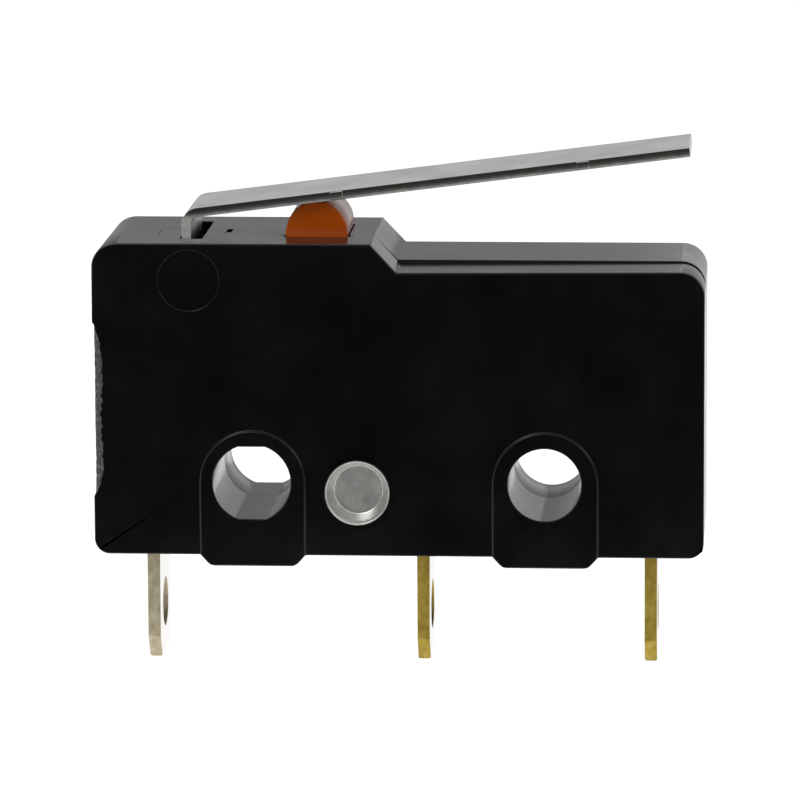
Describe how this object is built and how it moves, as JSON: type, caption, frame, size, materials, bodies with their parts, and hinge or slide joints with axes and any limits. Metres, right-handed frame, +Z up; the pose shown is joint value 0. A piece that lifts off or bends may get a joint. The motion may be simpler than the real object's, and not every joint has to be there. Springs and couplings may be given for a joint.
{
  "type": "subminiature lever micro switch",
  "caption": "Subminiature snap-action changeover switch with hinge lever, push plunger, solder tabs and a two-hole case.",
  "frame": {"origin": "axis of the round mounting hole, half way through the thickness of the case", "axes": "+X along the case from the lever's hinge to its tip, +Y through the mounting holes from the cover to the case shell, +Z up to the lever"},
  "size_m": [0.0199, 0.0064, 0.0171],
  "materials": {
    "case_resin": "moulded black thermosetting resin, semi-gloss",
    "plunger_resin": "moulded orange resin",
    "lever_steel": "rolled stainless steel sheet, blanked edges",
    "rivet_steel": "nickel-plated steel, drawn",
    "terminal_brass": "brass strip with silver-plated faces and bare blanked edges",
    "contact_silver": "fine silver",
    "blade_copper": "beryllium copper spring strip"
  },
  "bodies": {
    "housing": {"case_shell": "case_resin", "cover": "case_resin", "case_rivet": "rivet_steel", "common_terminal": "terminal_brass", "no_terminal": "terminal_brass", "nc_terminal": "terminal_brass", "no_contact": "contact_silver", "nc_contact": "contact_silver", "blade_rivet": "terminal_brass"},
    "lever": {"lever": "lever_steel"},
    "plunger": {"plunger": "plunger_resin"},
    "blade": {"snap_blade": "blade_copper", "moving_contact": "contact_silver"}
  },
  "joints": [
    {"name": "plunger_slide", "type": "slide", "parent": "housing", "child": "plunger", "axis": [0, 0, -1], "range_m": [0, 0.000818], "stiffness_N_per_m": 0.5, "springref_m": -0.001},
    {"name": "lever_hinge", "type": "hinge", "parent": "housing", "child": "lever", "pos_m": [-0.01168, 0, 0.0066], "axis": [0, 1, 0], "range_deg": [0, 10.9], "stiffness_Nm_per_rad": 0.0001, "springref_deg": -11.46},
    {"name": "blade_swing", "type": "hinge", "parent": "housing", "child": "blade", "pos_m": [-0.012, 0, 0.00436], "axis": [0, 1, 0], "range_deg": [0, 2.1], "stiffness_Nm_per_rad": 0.00002, "springref_deg": -17.19, "deforming": ["snap_blade"]}
  ],
  "couplings": [
    {"joint": "lever_hinge", "follows": "plunger_slide", "rad_per_m": 232.56},
    {"joint": "blade_swing", "follows": "plunger_slide", "rad_per_m": 42.558}
  ]
}
